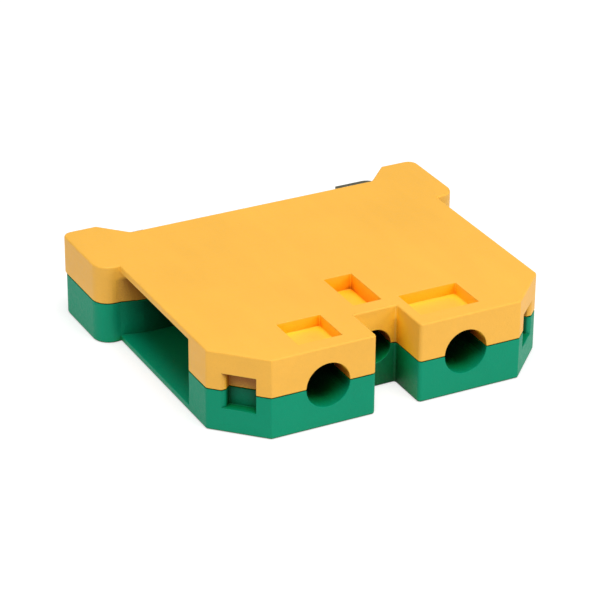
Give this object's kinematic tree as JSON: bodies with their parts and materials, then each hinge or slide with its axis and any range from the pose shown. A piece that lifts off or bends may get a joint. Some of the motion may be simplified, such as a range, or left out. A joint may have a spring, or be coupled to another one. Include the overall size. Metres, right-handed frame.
{
  "type": "din rail earth terminal block",
  "caption": "Two-shell yellow and green earth terminal block for a 35 mm DIN rail, with a screw clamp yoke on each side and a screw-driven rail claw.",
  "frame": {"origin": "centre of the outline's bounding box, on the lower (green) flank that the block lies on", "axes": "+X across the rail from the left ear to the right one, +Y from the screw face towards the rail, +Z through the thickness, along the rail in use"},
  "size_m": [0.053, 0.0436, 0.011],
  "materials": {
    "yellow_moulding": "fine satin moulding, polyamide",
    "green_moulding": "fine satin moulding, polyamide",
    "tinned_brass": "tin-plated, dull",
    "plated_steel": "zinc-plated pressed steel",
    "bright_zinc": "bright zinc plating"
  },
  "bodies": {
    "housing": {"housing_green_half": "green_moulding", "housing_yellow_half": "yellow_moulding", "current_bar": "tinned_brass", "fixed_rail_foot": "tinned_brass", "foot_rivet_lower": "tinned_brass", "foot_rivet_upper": "tinned_brass", "rail_screw_spring_washer": "bright_zinc", "rail_screw_flat_washer": "bright_zinc"},
    "left_screw": {"left_clamp_screw": "bright_zinc"},
    "left_yoke": {"left_clamp_yoke": "plated_steel"},
    "right_screw": {"right_clamp_screw": "bright_zinc"},
    "right_yoke": {"right_clamp_yoke": "plated_steel"},
    "rail_screw": {"rail_clamp_screw": "bright_zinc"},
    "rail_nut": {"rail_clamp_nut": "bright_zinc"},
    "rail_claw": {"movable_rail_foot": "plated_steel"}
  },
  "joints": [
    {"name": "left_screw_turn", "type": "hinge", "parent": "housing", "child": "left_screw", "pos_m": [-0.0097, -0.01293, 0.0057], "axis": [0, 1, 0], "range_deg": [0, 2341]},
    {"name": "left_yoke_slide", "type": "slide", "parent": "housing", "child": "left_yoke", "axis": [0, -1, 0], "range_m": [0, 0.0052]},
    {"name": "right_screw_turn", "type": "hinge", "parent": "housing", "child": "right_screw", "pos_m": [0.0097, -0.01293, 0.0057], "axis": [0, 1, 0], "range_deg": [0, 2341]},
    {"name": "right_yoke_slide", "type": "slide", "parent": "housing", "child": "right_yoke", "axis": [0, -1, 0], "range_m": [0, 0.0052]},
    {"name": "rail_screw_turn", "type": "hinge", "parent": "housing", "child": "rail_screw", "pos_m": [0, -0.00473, 0.0057], "axis": [0, 1, 0], "range_deg": [-515, 309]},
    {"name": "rail_nut_slide", "type": "slide", "parent": "housing", "child": "rail_nut", "axis": [0, -1, 0], "range_m": [-0.001, 0.0006]},
    {"name": "rail_claw_slide", "type": "slide", "parent": "housing", "child": "rail_claw", "axis": [0.7071, -0.7071, 0], "range_m": [-0.00142, 0.00085]}
  ],
  "couplings": [
    {"joint": "left_screw_turn", "follows": "left_yoke_slide", "rad_per_m": 7854},
    {"joint": "right_screw_turn", "follows": "right_yoke_slide", "rad_per_m": 7854},
    {"joint": "rail_screw_turn", "follows": "rail_nut_slide", "rad_per_m": 8976},
    {"joint": "rail_claw_slide", "follows": "rail_nut_slide", "ratio": 1.4142}
  ]
}
